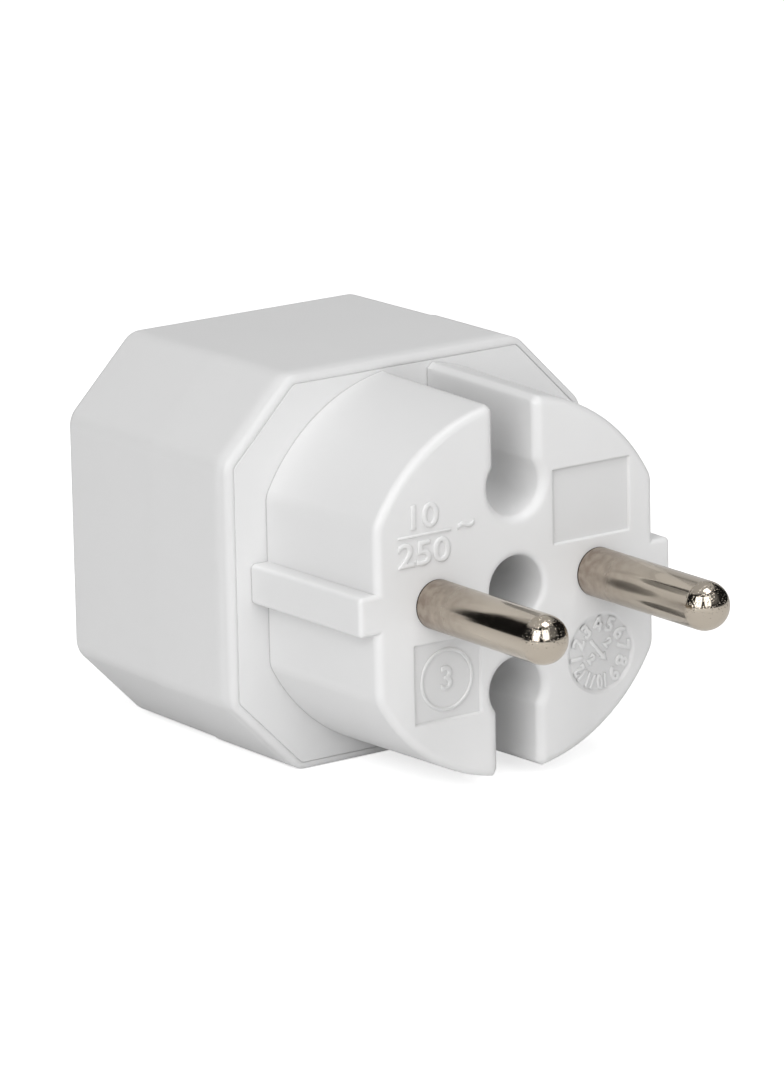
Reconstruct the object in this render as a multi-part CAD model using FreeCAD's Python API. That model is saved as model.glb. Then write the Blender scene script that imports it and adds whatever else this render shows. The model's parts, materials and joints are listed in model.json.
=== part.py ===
import FreeCAD, Part
import math
import os

# Two-way plug adapter: a contour mains plug with two round pins, moulded in one with an octagonal
# cover plate, closes the mouth of an octagonal housing. The far face of the housing has two flat
# six-sided sockets, one above the other. Each plug pin is riveted to a brass bus bar that feeds one
# contact of each socket.
#
# Millimetres. X runs across the pins, the pins point along -Y, and Z is up. The origin is the centre
# of the bounding box at its base, so the housing stands on its flat underside.

Vector = FreeCAD.Vector

# Plug pins
pin_pitch = 19.0
pin_diameter = 4.8
pin_length = 19.0
pin_stem_diameter = 4.0
pin_rivet_diameter = 5.2
pin_rivet_top_diameter = 3.2
pin_rivet_height = 0.9
pin_stem_clearance = 0.08

# Contour plug body: a round stub with two flats, drafted towards the plug face
contour_depth = 17.4
contour_face_radius = 18.4
contour_draft = 0.35
contour_flat_depth = 2.0
contour_flat_draft = 0.4
contour_edge_radius = 0.8
contour_flat_edge_radius = 2.5
contour_wall = 2.0
contour_face_thickness = 2.6

# Keyhole slots for the earth clips of a socket
slot_width = 4.8
slot_edge_chamfer = 0.6
slot_wall = 1.8
keyhole_radius = 3.1
keyhole_offset = 10.0
keyhole_throat_radius = 0.8

# Side guide ribs
rib_stand = 1.95
rib_height = 3.9
rib_edge_radius = 0.45

# Recessed panels in the plug face, as centre and size
panel_depth = 0.3
panel_draft = 0.2
name_panel_x = 8.93
name_panel_z = 7.12
name_panel_width = 9.2
name_panel_height = 7.3
mark_panel_x = -8.3
mark_panel_z = -7.6
mark_panel_width = 7.8
mark_panel_height = 7.8
date_dial_x = 9.85
date_dial_z = -8.12
date_dial_radius = 4.05
date_dial_floor_radius = 3.65
date_dial_depth = 0.2

# Octagonal housing
housing_width = 42.3
housing_height = 39.0
housing_chamfer = 7.6
housing_corner_radius = 2.4
housing_rim_radius = 0.7
housing_back_radius = 0.8
housing_wall = 2.25
housing_back_wall = 2.2
housing_lip = 0.75
parting_depth = 13.4
parting_step = 0.1
housing_taper = 0.1

# Cover plate, moulded in one with the contour body
plate_thickness = 2.0
plate_gap = 0.02
plate_corner_radius = 0.8
plate_edge_chamfer = 0.1

# Six-sided sockets in the back of the housing, as the walls left beside, above and between them
socket_side_margin = 2.95
socket_edge_margin = 3.1
socket_bridge = 3.2
socket_tip = 4.9
socket_depth = 5.0
socket_floor = 2.0
socket_wall = 1.8
socket_corner_radius = 1.2
socket_mouth_chamfer = 0.4
socket_hole_diameter = 5.0
socket_hole_flare = 0.7
socket_collar_wall = 1.4
socket_collar_length = 3.2

# Insulating walls inside the housing
partition_thickness = 1.6
partition_gap = 0.3
rivet_gap = 0.8

# Assembly screw and its boss
screw_well_diameter = 6.3
screw_well_chamfer = 0.3
screw_seat_thickness = 3.0
screw_hole_clearance = 0.2
screw_tower_wall = 1.8
screw_diameter = 2.9
screw_length = 15.0
screw_head_diameter = 5.6
screw_head_height = 2.0
screw_head_chamfer = 0.6
screw_tip_length = 1.5
screw_tip_diameter = 1.2
screw_cross_width = 0.9
screw_cross_span = 3.4
screw_cross_depth = 1.2
screw_cross_foot = 0.4
boss_diameter = 7.0
boss_bore_clearance = 0.05
boss_bore_spare = 1.5

# Towers of the plug body that hold the pins
pin_tower_wall = 1.8

# Bus bars
bar_width = 7.0
bar_thickness = 0.8
bar_gap = 0.95
bar_end_margin = 2.6

# Washers under the riveted pin ends
washer_diameter = 7.0
washer_thickness = 0.5

# Socket contacts: brass forks, each with a tab riveted to its bus bar
contact_thickness = 0.5
contact_width = 6.0
contact_base_gap = 5.0
contact_grip_gap = 3.6
contact_mouth_gap = 5.6
contact_neck_height = 3.0
contact_grip_start = 6.8
contact_grip_length = 3.2
contact_height = 13.6
contact_end_gap = 4.5
contact_tab_width = 5.0
contact_tab_margin = 2.3
contact_bend_radius = 0.8

# Contact rivets
rivet_diameter = 2.0
rivet_head_diameter = 3.6
rivet_head_height = 0.6
rivet_tail_diameter = 3.2
rivet_tail_height = 0.6
rivet_hole_clearance = 0.05
rivet_pocket_clearance = 0.5

# Steel springs that close the contacts
spring_thickness = 0.5
spring_height = 2.4
spring_side_gap = 0.2
spring_slit = 1.8
spring_corner_radius = 0.4

# Sizes that follow from those above
contour_base_radius = contour_face_radius + contour_draft
contour_face_flat = contour_face_radius - contour_flat_depth
contour_base_flat = contour_face_flat + contour_flat_draft
rib_face_reach = contour_face_flat + rib_stand
rib_base_reach = rib_face_reach + contour_draft
housing_depth = (
    plate_thickness + bar_thickness + contact_height + contact_end_gap + socket_floor + socket_depth
)
socket_width = housing_width - 2 * socket_side_margin
socket_flat = socket_width - 2 * socket_tip
socket_height = (housing_height - socket_bridge) / 2 - socket_edge_margin
socket_pitch = socket_height + socket_bridge

# Planes that the pieces share
overall_length = pin_length + contour_depth + housing_depth
face_y = -overall_length / 2 + pin_length
plate_y = face_y + contour_depth
seat_y = plate_y + plate_thickness
parting_y = plate_y + parting_depth
back_y = plate_y + housing_depth
axis_z = housing_height / 2
pin_x = pin_pitch / 2
socket_floor_y = back_y - socket_depth
well_y = socket_floor_y - socket_floor
back_inset = parting_step + housing_taper
cavity_inset = back_inset + housing_wall
bar_back_y = seat_y + bar_thickness
washer_back_y = bar_back_y + washer_thickness
contact_base_y = bar_back_y + contact_thickness
bar_inset = cavity_inset + bar_gap
rivet_offset = housing_height / 2 - bar_inset - bar_end_margin
cut_margin = 1.0

# Tolerances for picking edges and closing faces
match_tolerance = 0.1
plane_tolerance = 0.01
point_tolerance = 0.001
lengthwise_ratio = 4


def prismatoid(front, front_y, back, end_y):
    """Solid with flat sides between two outlines of (x, z) points that match point for point."""
    near = [Vector(x, front_y, z) for x, z in front]
    far = [Vector(x, end_y, z) for x, z in back]
    faces = [Part.Face(Part.makePolygon(near + near[:1])), Part.Face(Part.makePolygon(far + far[:1]))]
    for i in range(len(near)):
        j = (i + 1) % len(near)
        faces.append(Part.Face(Part.makePolygon([near[i], near[j], far[j], far[i], near[i]])))
    solid = Part.Solid(Part.makeShell(faces))
    solid.fix(point_tolerance, point_tolerance, point_tolerance)
    if solid.Volume < 0:
        solid.reverse()
    return solid


def prism(outline, front_y, end_y):
    return prismatoid(outline, front_y, outline, end_y)


def rectangle(x, z, width, height):
    """Outline of a rectangle about the point (x, z)."""
    left, right = x - width / 2, x + width / 2
    low, high = z - height / 2, z + height / 2
    return [(left, low), (right, low), (right, high), (left, high)]


def octagon(inset):
    """Outline of the housing, moved inwards by inset on all eight sides."""
    half_width = housing_width / 2 - inset
    half_height = housing_height / 2 - inset
    chamfer = housing_chamfer - inset * (2 - math.sqrt(2))
    short_width = half_width - chamfer
    short_height = half_height - chamfer
    corners = [
        (short_width, -half_height),
        (half_width, -short_height),
        (half_width, short_height),
        (short_width, half_height),
        (-short_width, half_height),
        (-half_width, short_height),
        (-half_width, -short_height),
        (-short_width, -half_height),
    ]
    return [(x, axis_z + z) for x, z in corners]


def hexagon(centre_z, grow):
    """Outline of one socket recess, moved outwards by grow on all six sides."""
    tip, flat, rise = socket_width / 2, socket_flat / 2, socket_height / 2
    slant = math.hypot(rise, tip - flat)
    tip_out = tip + grow * slant / rise
    flat_out = flat + grow * (slant - (tip - flat)) / rise
    rise_out = rise + grow
    corners = [
        (-flat_out, -rise_out),
        (flat_out, -rise_out),
        (tip_out, 0),
        (flat_out, rise_out),
        (-flat_out, rise_out),
        (-tip_out, 0),
    ]
    return [(x, centre_z + z) for x, z in corners]


def cylinder(x, z, radius, front_y, end_y):
    return Part.makeCylinder(radius, end_y - front_y, Vector(x, front_y, z), Vector(0, 1, 0))


def cone(x, z, front_radius, back_radius, front_y, end_y):
    if abs(front_radius - back_radius) < point_tolerance:
        return cylinder(x, z, front_radius, front_y, end_y)
    return Part.makeCone(front_radius, back_radius, end_y - front_y, Vector(x, front_y, z), Vector(0, 1, 0))


def fillet(shape, radius, wanted):
    """Round the edges for which wanted(edge) is true."""
    return shape.makeFillet(radius, [edge for edge in shape.Edges if wanted(edge)])


def bevel(shape, size, wanted):
    """Bevel the edges for which wanted(edge) is true."""
    return shape.makeChamfer(size, [edge for edge in shape.Edges if wanted(edge)])


def lengthwise(edge):
    """True for an edge that runs from front to back."""
    box = edge.BoundBox
    return box.YLength > lengthwise_ratio * max(box.XLength, box.ZLength)


def in_plane(edge, y):
    box = edge.BoundBox
    return abs(box.YMin - y) < plane_tolerance and abs(box.YMax - y) < plane_tolerance


def fused(*shapes):
    return shapes[0].multiFuse(list(shapes[1:])).removeSplitter()


def round_stub(face_radius, base_radius, face_flat, base_flat, front_y, end_y):
    """Drafted round stub with a flat on each side."""
    height = 2 * (base_radius + cut_margin)
    slab = prismatoid(
        rectangle(0, axis_z, 2 * face_flat, height), front_y,
        rectangle(0, axis_z, 2 * base_flat, height), end_y,
    )
    return cone(0, axis_z, face_radius, base_radius, front_y, end_y).common(slab)


def keyhole_block(side, grow, front_y, end_y):
    """Keyhole moved outwards by grow, open upwards for side 1 and downwards for side -1."""
    eye_z = axis_z + side * keyhole_offset
    length = contour_base_radius
    eye = cylinder(0, eye_z, keyhole_radius + grow, front_y, end_y)
    slot = prism(rectangle(0, eye_z + side * length / 2, slot_width + 2 * grow, length), front_y, end_y)
    return fused(eye, slot)


def keyhole(side, front_y, end_y):
    """Keyhole slot with rounded throats."""
    throat = math.sqrt(keyhole_radius ** 2 - (slot_width / 2) ** 2)
    throat_z = axis_z + side * (keyhole_offset + throat)
    return fillet(
        keyhole_block(side, 0, front_y, end_y), keyhole_throat_radius,
        lambda edge: lengthwise(edge) and abs(edge.BoundBox.Center.z - throat_z) < match_tolerance,
    )


def contour_body():
    """Round stub with a rounded face edge and its keyhole slots, whose edges are bevelled."""
    stub = round_stub(
        contour_face_radius, contour_base_radius, contour_face_flat, contour_base_flat, face_y, plate_y
    )
    stub = fillet(stub, contour_flat_edge_radius, lengthwise)
    stub = fillet(stub, contour_edge_radius, lambda edge: in_plane(edge, face_y))
    for side in (1, -1):
        stub = stub.cut(keyhole(side, face_y - cut_margin, plate_y + cut_margin))

    def on_slot(edge):
        box = edge.BoundBox
        within = keyhole_radius + match_tolerance
        beside = abs(box.XMin) < within and abs(box.XMax) < within
        in_front = box.YMax < face_y + contour_edge_radius + match_tolerance
        on_crest = lengthwise(edge) and abs(box.Center.z - axis_z) > keyhole_offset + keyhole_radius
        return beside and (in_front or on_crest)

    return bevel(stub, slot_edge_chamfer, on_slot)


def guide_ribs():
    """Bar across the stub whose two ends are the side guide ribs."""
    bar = prismatoid(
        rectangle(0, axis_z, 2 * rib_face_reach, rib_height), face_y,
        rectangle(0, axis_z, 2 * rib_base_reach, rib_height), plate_y,
    )
    return fillet(bar, rib_edge_radius, lambda edge: not in_plane(edge, plate_y))


def panel(x, z, width, height):
    """Shallow rectangular recess with drafted sides."""
    return prismatoid(
        rectangle(x, z, width + panel_draft, height + panel_draft), face_y - panel_draft,
        rectangle(x, z, width - panel_draft, height - panel_draft), face_y + panel_depth,
    )


def make_plug_base():
    """Contour body, guide ribs and cover plate in one moulding, cored out from behind."""
    plate = prism(octagon(housing_lip + plate_gap), plate_y, seat_y)
    plate = fillet(plate, plate_corner_radius, lengthwise)
    plate = bevel(plate, plate_edge_chamfer, lambda edge: in_plane(edge, plate_y))
    body = fused(contour_body(), guide_ribs(), plate)

    core = round_stub(
        contour_face_radius - contour_wall, contour_base_radius - contour_wall,
        contour_face_flat - contour_wall, contour_base_flat - contour_wall,
        face_y + contour_face_thickness, seat_y + cut_margin,
    )
    tower_end = seat_y + 2 * cut_margin
    tower = pin_stem_diameter / 2 + pin_tower_wall
    for side in (1, -1):
        core = core.cut(keyhole_block(side, slot_wall, face_y, tower_end))
        core = core.cut(cylinder(side * pin_x, axis_z, tower, face_y, tower_end))
    core = core.cut(cylinder(0, axis_z, screw_well_diameter / 2 + screw_tower_wall, face_y, tower_end))
    body = body.cut(core)

    front = face_y - cut_margin
    behind = seat_y + cut_margin
    well_radius = screw_well_diameter / 2
    cuts = [
        cylinder(0, axis_z, well_radius, front, seat_y - screw_seat_thickness),
        cone(0, axis_z, well_radius + screw_well_chamfer, well_radius, face_y, face_y + screw_well_chamfer),
        cylinder(0, axis_z, (screw_diameter + screw_hole_clearance) / 2, front, behind),
        panel(name_panel_x, axis_z + name_panel_z, name_panel_width, name_panel_height),
        panel(mark_panel_x, axis_z + mark_panel_z, mark_panel_width, mark_panel_height),
        cone(
            date_dial_x, axis_z + date_dial_z, 2 * date_dial_radius - date_dial_floor_radius,
            date_dial_floor_radius, face_y - date_dial_depth, face_y + date_dial_depth,
        ),
    ]
    for side in (1, -1):
        stem = (pin_stem_diameter + pin_stem_clearance) / 2
        cuts.append(cylinder(side * pin_x, axis_z, stem, front, behind))
        for level in (1, -1):
            pocket = rivet_tail_diameter + rivet_pocket_clearance
            depth = rivet_tail_height + rivet_pocket_clearance
            outline = rectangle(side * pin_x, rivet_z(level), pocket, pocket)
            cuts.append(prism(outline, seat_y - depth, behind))
    for piece in cuts:
        body = body.cut(piece)
    return body


def socket_z(level):
    """Height of the centre line of the upper socket for level 1 and of the lower one for -1."""
    return axis_z + level * socket_pitch / 2


def rivet_z(level):
    return axis_z + level * rivet_offset


def housing_shell():
    """Octagonal cup, with a small step all round where the two halves of its mould meet."""
    front = prism(octagon(0), plate_y, parting_y)
    front = fillet(front, housing_corner_radius, lengthwise)
    front = fillet(front, housing_rim_radius, lambda edge: in_plane(edge, plate_y))
    rear = prismatoid(octagon(parting_step), parting_y, octagon(back_inset), back_y)
    rear = fillet(rear, housing_corner_radius, lengthwise)
    rear = fillet(rear, housing_back_radius, lambda edge: in_plane(edge, back_y))
    mouth = prism(octagon(housing_lip), plate_y - cut_margin, seat_y)
    mouth = fillet(mouth, plate_corner_radius + plate_gap, lengthwise)
    cavity = prism(octagon(cavity_inset), seat_y - cut_margin, back_y - housing_back_wall)
    return fused(front, rear).cut(mouth).cut(cavity)


def make_housing():
    """Housing with its two socket wells, insulating walls, pin collars and screw boss."""
    inner = []
    for level in (1, -1):
        inner.append(prism(hexagon(socket_z(level), socket_wall), well_y, back_y - housing_back_radius))
        for side in (1, -1):
            radius = socket_hole_diameter / 2 + socket_collar_wall
            start = well_y - socket_collar_length
            inner.append(cylinder(side * pin_x, socket_z(level), radius, start, socket_floor_y))
    wide = housing_width - 2 * cavity_inset + housing_wall
    tall = housing_height - 2 * cavity_inset + housing_wall
    wall_y = seat_y + partition_gap
    head_y = washer_back_y + pin_rivet_height + rivet_gap
    inner.append(prism(rectangle(0, axis_z, partition_thickness, tall), wall_y, socket_floor_y))
    inner.append(prism(rectangle(0, axis_z, wide, partition_thickness), head_y, socket_floor_y))
    inner.append(cylinder(0, axis_z, boss_diameter / 2, wall_y, socket_floor_y))
    core = fused(*inner).common(prism(octagon(cavity_inset - housing_wall / 2), plate_y, back_y))
    body = fused(housing_shell(), core)

    bore = (screw_diameter + boss_bore_clearance) / 2
    bore_end = seat_y - screw_seat_thickness + screw_length + boss_bore_spare
    body = body.cut(cylinder(0, axis_z, bore, seat_y, bore_end))
    for level in (1, -1):
        recess = prism(hexagon(socket_z(level), 0), socket_floor_y, back_y + cut_margin)
        body = body.cut(fillet(recess, socket_corner_radius, lengthwise))
        for side in (1, -1):
            x, z = side * pin_x, socket_z(level)
            radius = socket_hole_diameter / 2
            mouth_radius = radius + socket_hole_flare
            body = body.cut(cylinder(x, z, radius, seat_y, back_y))
            flare_y = socket_floor_y - socket_hole_flare
            body = body.cut(cone(x, z, radius, mouth_radius, flare_y, socket_floor_y))

    def on_mouth(edge):
        box = edge.BoundBox
        beside = max(abs(box.XMin), abs(box.XMax)) < socket_width / 2 + match_tolerance
        low = socket_z(-1) - socket_height / 2 - match_tolerance
        high = socket_z(1) + socket_height / 2 + match_tolerance
        return in_plane(edge, back_y) and beside and box.ZMin > low and box.ZMax < high

    return bevel(body, socket_mouth_chamfer, on_mouth)


def make_plug_pin(side):
    """Turned pin with a domed tip, a shoulder on the plug face and a stem riveted over its washer."""
    x = side * pin_x
    radius = pin_diameter / 2
    dome_y = face_y - pin_length + radius
    dome = Part.makeSphere(radius, Vector(x, dome_y, axis_z), Vector(0, 1, 0))
    shank = cylinder(x, axis_z, radius, dome_y, face_y)
    stem = cylinder(x, axis_z, pin_stem_diameter / 2, dome_y, washer_back_y + pin_rivet_height / 2)
    crown = cone(
        x, axis_z, pin_rivet_diameter / 2, pin_rivet_top_diameter / 2,
        washer_back_y, washer_back_y + pin_rivet_height,
    )
    return fused(dome, shank, stem, crown)


def make_pin_washer(side):
    ring = cylinder(side * pin_x, axis_z, washer_diameter / 2, bar_back_y, washer_back_y)
    hole = (pin_stem_diameter + pin_stem_clearance) / 2
    return ring.cut(cylinder(side * pin_x, axis_z, hole, bar_back_y - cut_margin, washer_back_y + cut_margin))


def make_bus_bar(side):
    """Brass strip with the pin's stem through its middle, cut to clear the housing's walls and chamfers."""
    strip = prism(rectangle(side * pin_x, axis_z, bar_width, housing_height), seat_y, bar_back_y)
    bar = strip.common(prism(octagon(bar_inset), seat_y, bar_back_y))
    front, behind = seat_y - cut_margin, bar_back_y + cut_margin
    bar = bar.cut(cylinder(side * pin_x, axis_z, (pin_stem_diameter + pin_stem_clearance) / 2, front, behind))
    for level in (1, -1):
        radius = (rivet_diameter + rivet_hole_clearance) / 2
        bar = bar.cut(cylinder(side * pin_x, rivet_z(level), radius, front, behind))
    return bar


def fork_side(sign):
    """Centre line of one leaf of a contact fork, as (x, y) corners from its root to its mouth."""
    offset = contact_thickness / 2
    root_y = bar_back_y + offset
    neck_y = root_y + contact_neck_height
    grip_y = root_y + contact_grip_start
    return [
        (sign * (contact_base_gap / 2 + offset), root_y),
        (sign * (contact_base_gap / 2 + offset), neck_y),
        (sign * (contact_grip_gap / 2 + offset), grip_y),
        (sign * (contact_grip_gap / 2 + offset), grip_y + contact_grip_length),
        (sign * (contact_mouth_gap / 2 + offset), bar_back_y + contact_height),
    ]


def strip_outline(corners):
    """Closed outline of a sheet of contact_thickness bent along corners, with mitred bends."""
    half = contact_thickness / 2
    normals = []
    for (x0, y0), (x1, y1) in zip(corners, corners[1:]):
        length = math.hypot(x1 - x0, y1 - y0)
        normals.append((-(y1 - y0) / length, (x1 - x0) / length))
    left, right = [], []
    for i, (x, y) in enumerate(corners):
        before = normals[max(i - 1, 0)]
        after = normals[min(i, len(normals) - 1)]
        mitre = half / (1 + before[0] * after[0] + before[1] * after[1])
        dx = (before[0] + after[0]) * mitre
        dy = (before[1] + after[1]) * mitre
        left.append((x + dx, y + dy))
        right.append((x - dx, y - dy))
    return left + right[::-1]


def make_socket_contact(side, level):
    """Fork of two leaves folded up from a base, with a tab for its rivet beside it."""
    corners = fork_side(-1)[::-1] + fork_side(1)
    outline = strip_outline(corners)
    points = [Vector(side * pin_x + x, y, socket_z(level) - contact_width / 2) for x, y in outline]
    fork = Part.Face(Part.makePolygon(points + points[:1])).extrude(Vector(0, 0, contact_width))
    fork = fillet(
        fork, contact_bend_radius,
        lambda edge: edge.BoundBox.ZLength > contact_width / 2 and in_plane(edge, bar_back_y),
    )
    start = socket_z(level) + level * (contact_width / 2 - contact_thickness)
    end = rivet_z(level) + level * contact_tab_margin
    outline = rectangle(side * pin_x, (start + end) / 2, contact_tab_width, abs(end - start))
    tab = prism(outline, bar_back_y, contact_base_y)
    tab = tab.common(prism(octagon(bar_inset), bar_back_y, contact_base_y))
    radius = (rivet_diameter + rivet_hole_clearance) / 2
    front, behind = bar_back_y - cut_margin, contact_base_y + cut_margin
    return fused(fork, tab).cut(cylinder(side * pin_x, rivet_z(level), radius, front, behind))


def make_contact_rivet(side, level):
    """Small rivet with a head on the contact's tab and a tail under the bus bar."""
    x, z = side * pin_x, rivet_z(level)
    return fused(
        cylinder(x, z, rivet_tail_diameter / 2, seat_y - rivet_tail_height, seat_y),
        cylinder(x, z, rivet_diameter / 2, seat_y, contact_base_y),
        cylinder(x, z, rivet_head_diameter / 2, contact_base_y, contact_base_y + rivet_head_height),
    )


def make_contact_spring(side, level):
    """Steel strip bent round the grip of a contact, open on its outer side."""
    x, z = side * pin_x, socket_z(level)
    inner_width = contact_grip_gap + 2 * contact_thickness
    inner_height = contact_width + 2 * spring_side_gap
    grip_y = bar_back_y + contact_thickness / 2 + contact_grip_start
    start = grip_y + (contact_grip_length - spring_height) / 2
    end = start + spring_height
    outer = prism(
        rectangle(x, z, inner_width + 2 * spring_thickness, inner_height + 2 * spring_thickness), start, end
    )
    outer = fillet(outer, spring_corner_radius + spring_thickness, lengthwise)
    front, behind = start - cut_margin, end + cut_margin
    inner = prism(rectangle(x, z, inner_width, inner_height), front, behind)
    slit_z = z + level * (inner_height + spring_thickness) / 2
    slit = prism(rectangle(x, slit_z, spring_slit, 2 * spring_thickness), front, behind)
    return outer.cut(inner).cut(slit)


def make_assembly_screw():
    """Pan-head screw that draws the housing onto the plug base."""
    under_y = seat_y - screw_seat_thickness
    top_y = under_y - screw_head_height
    end_y = under_y + screw_length
    head = screw_head_diameter / 2
    shank = screw_diameter / 2
    rim_y = top_y + screw_head_chamfer
    tip_y = end_y - screw_tip_length
    screw = fused(
        cone(0, axis_z, head - screw_head_chamfer, head, top_y, rim_y),
        cylinder(0, axis_z, head, rim_y, under_y),
        cylinder(0, axis_z, shank, under_y, tip_y),
        cone(0, axis_z, shank, screw_tip_diameter / 2, tip_y, end_y),
    )
    for width, height in ((screw_cross_span, screw_cross_width), (screw_cross_width, screw_cross_span)):
        foot = rectangle(0, axis_z, width * screw_cross_foot, height * screw_cross_foot)
        arm = prismatoid(
            rectangle(0, axis_z, width, height), top_y - screw_cross_width, foot, top_y + screw_cross_depth
        )
        screw = screw.cut(arm)
    return screw


def build():
    """All pieces by name."""
    pieces = {
        "housing": make_housing(),
        "plug_base": make_plug_base(),
        "assembly_screw": make_assembly_screw(),
    }
    for side, side_name in ((-1, "left"), (1, "right")):
        pieces["plug_pin_" + side_name] = make_plug_pin(side)
        pieces["pin_washer_" + side_name] = make_pin_washer(side)
        pieces["bus_bar_" + side_name] = make_bus_bar(side)
        for level, level_name in ((1, "upper"), (-1, "lower")):
            place = level_name + "_" + side_name
            pieces["socket_contact_" + place] = make_socket_contact(side, level)
            pieces["contact_rivet_" + place] = make_contact_rivet(side, level)
            pieces["contact_spring_" + place] = make_contact_spring(side, level)
    return pieces


os.makedirs("parts", exist_ok=True)
for name, shape in build().items():
    shape.exportStep("parts/" + name + ".step")
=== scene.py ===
import json
import math

import bpy
from bpy.props import FloatProperty, FloatVectorProperty, PointerProperty
from mathutils import Matrix, Vector

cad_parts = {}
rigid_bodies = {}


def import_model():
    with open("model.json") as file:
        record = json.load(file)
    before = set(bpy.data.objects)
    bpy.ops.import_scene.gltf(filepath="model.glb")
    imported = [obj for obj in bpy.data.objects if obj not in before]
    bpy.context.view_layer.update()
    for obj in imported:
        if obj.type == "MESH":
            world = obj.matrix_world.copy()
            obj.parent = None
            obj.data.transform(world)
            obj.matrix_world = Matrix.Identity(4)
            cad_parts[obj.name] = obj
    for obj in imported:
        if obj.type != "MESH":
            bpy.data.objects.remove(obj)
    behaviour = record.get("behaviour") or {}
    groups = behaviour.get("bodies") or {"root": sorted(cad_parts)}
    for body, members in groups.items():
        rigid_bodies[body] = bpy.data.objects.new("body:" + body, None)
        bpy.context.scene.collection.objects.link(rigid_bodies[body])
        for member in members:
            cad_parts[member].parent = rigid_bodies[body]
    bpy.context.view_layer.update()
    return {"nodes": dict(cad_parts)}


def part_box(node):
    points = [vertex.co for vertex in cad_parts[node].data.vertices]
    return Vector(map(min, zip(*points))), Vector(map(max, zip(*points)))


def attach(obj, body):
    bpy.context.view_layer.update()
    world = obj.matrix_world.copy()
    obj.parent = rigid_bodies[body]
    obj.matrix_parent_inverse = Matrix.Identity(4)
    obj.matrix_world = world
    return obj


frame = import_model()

bl_info = {
    "name": "Two-way plug adapter",
    "version": (1, 0, 0),
    "blender": (4, 5, 0),
    "location": "3D View > Sidebar > Adapter",
    "description": "Finishes, moulded figures and studio for a two-way plug adapter",
    "category": "Object",
}

MM = 0.001

# Where the pins, the plug face and the housing's rim are, from the solids themselves
PIN_LOW, PIN_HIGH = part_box("plug_pin_left")
AXIS_Z = (PIN_LOW.z + PIN_HIGH.z) / 2
PIN_TIP_Y = PIN_LOW.y
# The pins stand this far to either side of the middle
PIN_X = sum(corner.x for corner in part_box("plug_pin_right")) / 2
FACE_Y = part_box("plug_base")[0].y
# The cover plate lies level with the rim
RIM_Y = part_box("housing")[0].y

# The slots and the screw well lie within this distance of the middle
MIDDLE_HALF_WIDTH = 4 * MM

# Centre of the mould dial from the pin line, and the radii between which its edge slopes
DIAL_CENTRE = (9.85 * MM, -8.12 * MM)
DIAL_FLOOR_RADIUS = 3.6 * MM
DIAL_RADIUS = 4.03 * MM
# Depths of the dial and of the panels below the plug face
DIAL_DEPTH = 0.2 * MM
PANEL_DEPTH = 0.3 * MM

# Photograph's frame in pixels, and the view that was fitted to it
PHOTO_SIZE = (784, 1066)
FOCAL_LENGTH_PX = 7251.8
FACE_CENTRE_PX = (517.6, 587.6)
VIEW_DISTANCE = 0.6878
VIEW_AZIMUTH = -35.57
VIEW_ELEVATION = 14.19
VIEW_ROLL = -1.12
SENSOR_HEIGHT_MM = 36.0


def hex_colour(text):
    """sRGB hex such as #E8E8E6 as linear red, green and blue."""
    channels = [int(text[i:i + 2], 16) / 255 for i in (1, 3, 5)]
    return tuple(c / 12.92 if c <= 0.04045 else ((c + 0.055) / 1.055) ** 2.4 for c in channels)


class PlasticFinish(bpy.types.PropertyGroup):
    housing_colour: FloatVectorProperty(
        name="Housing colour", description="White of the housing moulding",
        subtype="COLOR", size=3, min=0, max=1, default=hex_colour("#DDDDDD"),
    )
    plug_colour: FloatVectorProperty(
        name="Plug colour", description="White of the plug moulding",
        subtype="COLOR", size=3, min=0, max=1, default=hex_colour("#E0E0E0"),
    )
    roughness: FloatProperty(
        name="Roughness", description="Roughness of the satin mould surface", min=0, max=1, default=0.42,
    )
    edge_rounding: FloatProperty(
        name="Edge rounding", description="Radius to which small bevels are shaded round",
        unit="LENGTH", default=0.3 * MM,
    )
    slot_rounding: FloatProperty(
        name="Slot rounding", description="The same for the softer edges of the slots and the screw well",
        unit="LENGTH", default=0.9 * MM,
    )
    rim_rounding: FloatProperty(
        name="Rim rounding", description="The same for the rim of the housing",
        unit="LENGTH", default=0.5 * MM,
    )
    rim_lean_depth: FloatProperty(
        name="Rim lean depth",
        description="Depth over which the housing's walls are shaded round into the rim",
        unit="LENGTH", default=3.0 * MM,
    )
    grain: FloatProperty(
        name="Grain", description="Size of the spark-eroded mould grain, drawn coarser than it is",
        unit="LENGTH", default=0.22 * MM,
    )
    # Painted shade on the floors of the face's recesses
    recess_tone: FloatProperty(
        name="Recess tone", description="Tone of the recesses' floors, as a share of the face's",
        min=0, max=1, default=0.92,
    )
    # Painted shade in the corner where the plug's walls meet the cover plate
    foot_tone: FloatProperty(
        name="Foot tone", description="Tone of the fine line where the plug's walls meet the cover plate",
        min=0, max=1, default=0.7,
    )
    depth: FloatProperty(
        name="Light depth", description="How far light spreads in the plastic",
        unit="LENGTH", default=0.5 * MM,
    )


class PinFinish(bpy.types.PropertyGroup):
    nickel_colour: FloatVectorProperty(
        name="Nickel colour", description="Warm grey of the nickel plating",
        subtype="COLOR", size=3, min=0, max=1, default=hex_colour("#C6BCAE"),
    )
    stain_colour: FloatVectorProperty(
        name="Stain colour", description="Darker plating near the plug face",
        subtype="COLOR", size=3, min=0, max=1, default=hex_colour("#94857A"),
    )
    # Painted shade: the dark line stands for the shadow of the gap round the pin at the plug face
    joint_colour: FloatVectorProperty(
        name="Joint colour", description="Dark line where the pin leaves the plug face",
        subtype="COLOR", size=3, min=0, max=1, default=hex_colour("#4A423C"),
    )
    joint_width: FloatProperty(
        name="Joint width", description="Width of that dark line", unit="LENGTH", default=0.22 * MM,
    )
    tip_roughness: FloatProperty(
        name="Tip roughness", description="Roughness of the dome and the shank beside it",
        min=0, max=1, default=0.12,
    )
    base_roughness: FloatProperty(
        name="Base roughness", description="Roughness of the shank near the plug face",
        min=0, max=1, default=0.36,
    )


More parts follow.
